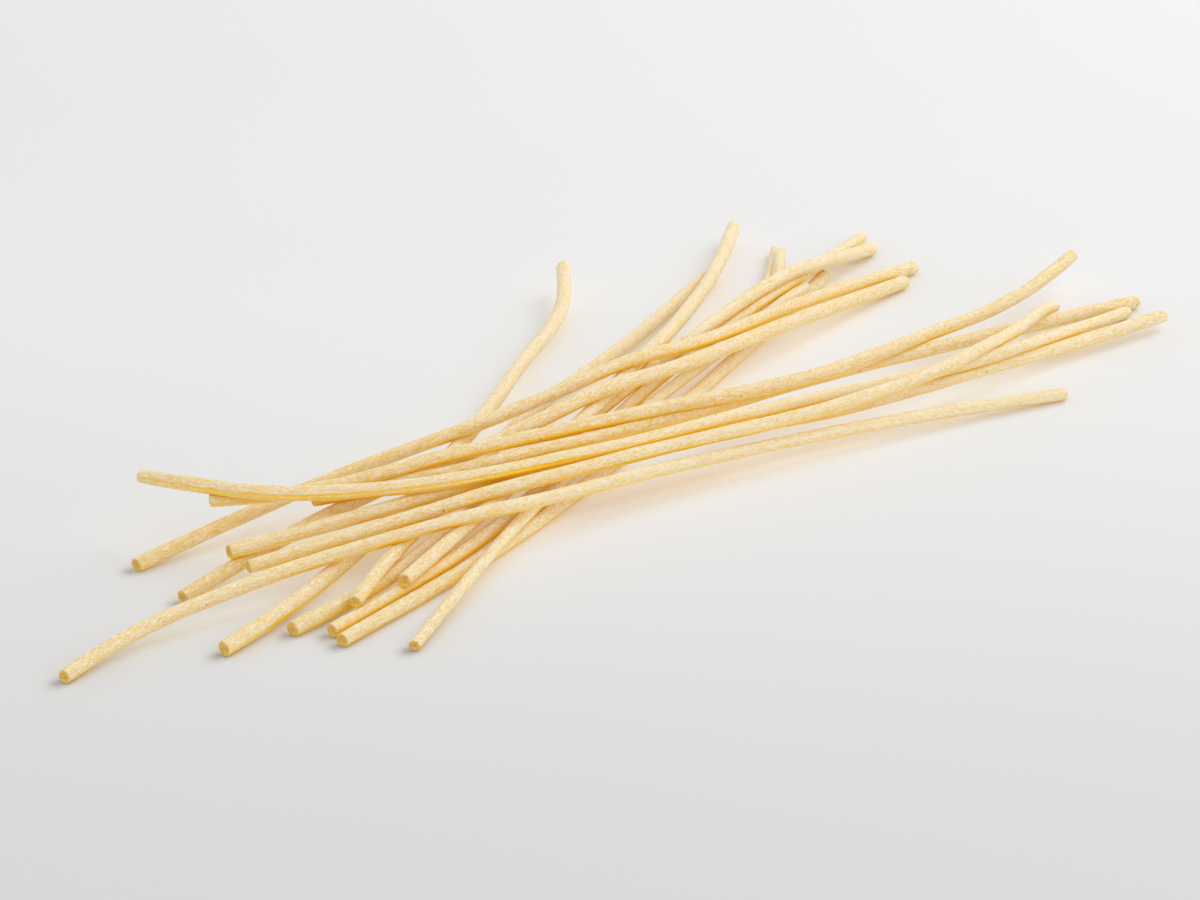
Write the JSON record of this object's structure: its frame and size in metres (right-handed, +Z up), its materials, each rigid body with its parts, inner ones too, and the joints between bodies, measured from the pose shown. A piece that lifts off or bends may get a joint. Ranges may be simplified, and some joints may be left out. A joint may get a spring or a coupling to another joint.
{
  "type": "bundle of dry spaghetti",
  "caption": "Loose heap of thick dry spaghetti strands lying crossed over one another on a flat surface, their ends fanned out.",
  "frame": {"origin": "middle of the footprint, at the height of the surface that the heap lies on", "axes": "+Z up, -Y towards the front of the heap as pictured, +X to its right"},
  "size_m": [0.1642, 0.1716, 0.0098],
  "materials": {
    "dry_pasta": "matt, floury cream yellow"
  },
  "bodies": {
    "root": {"spaghetti": "dry_pasta"}
  },
  "joints": []
}
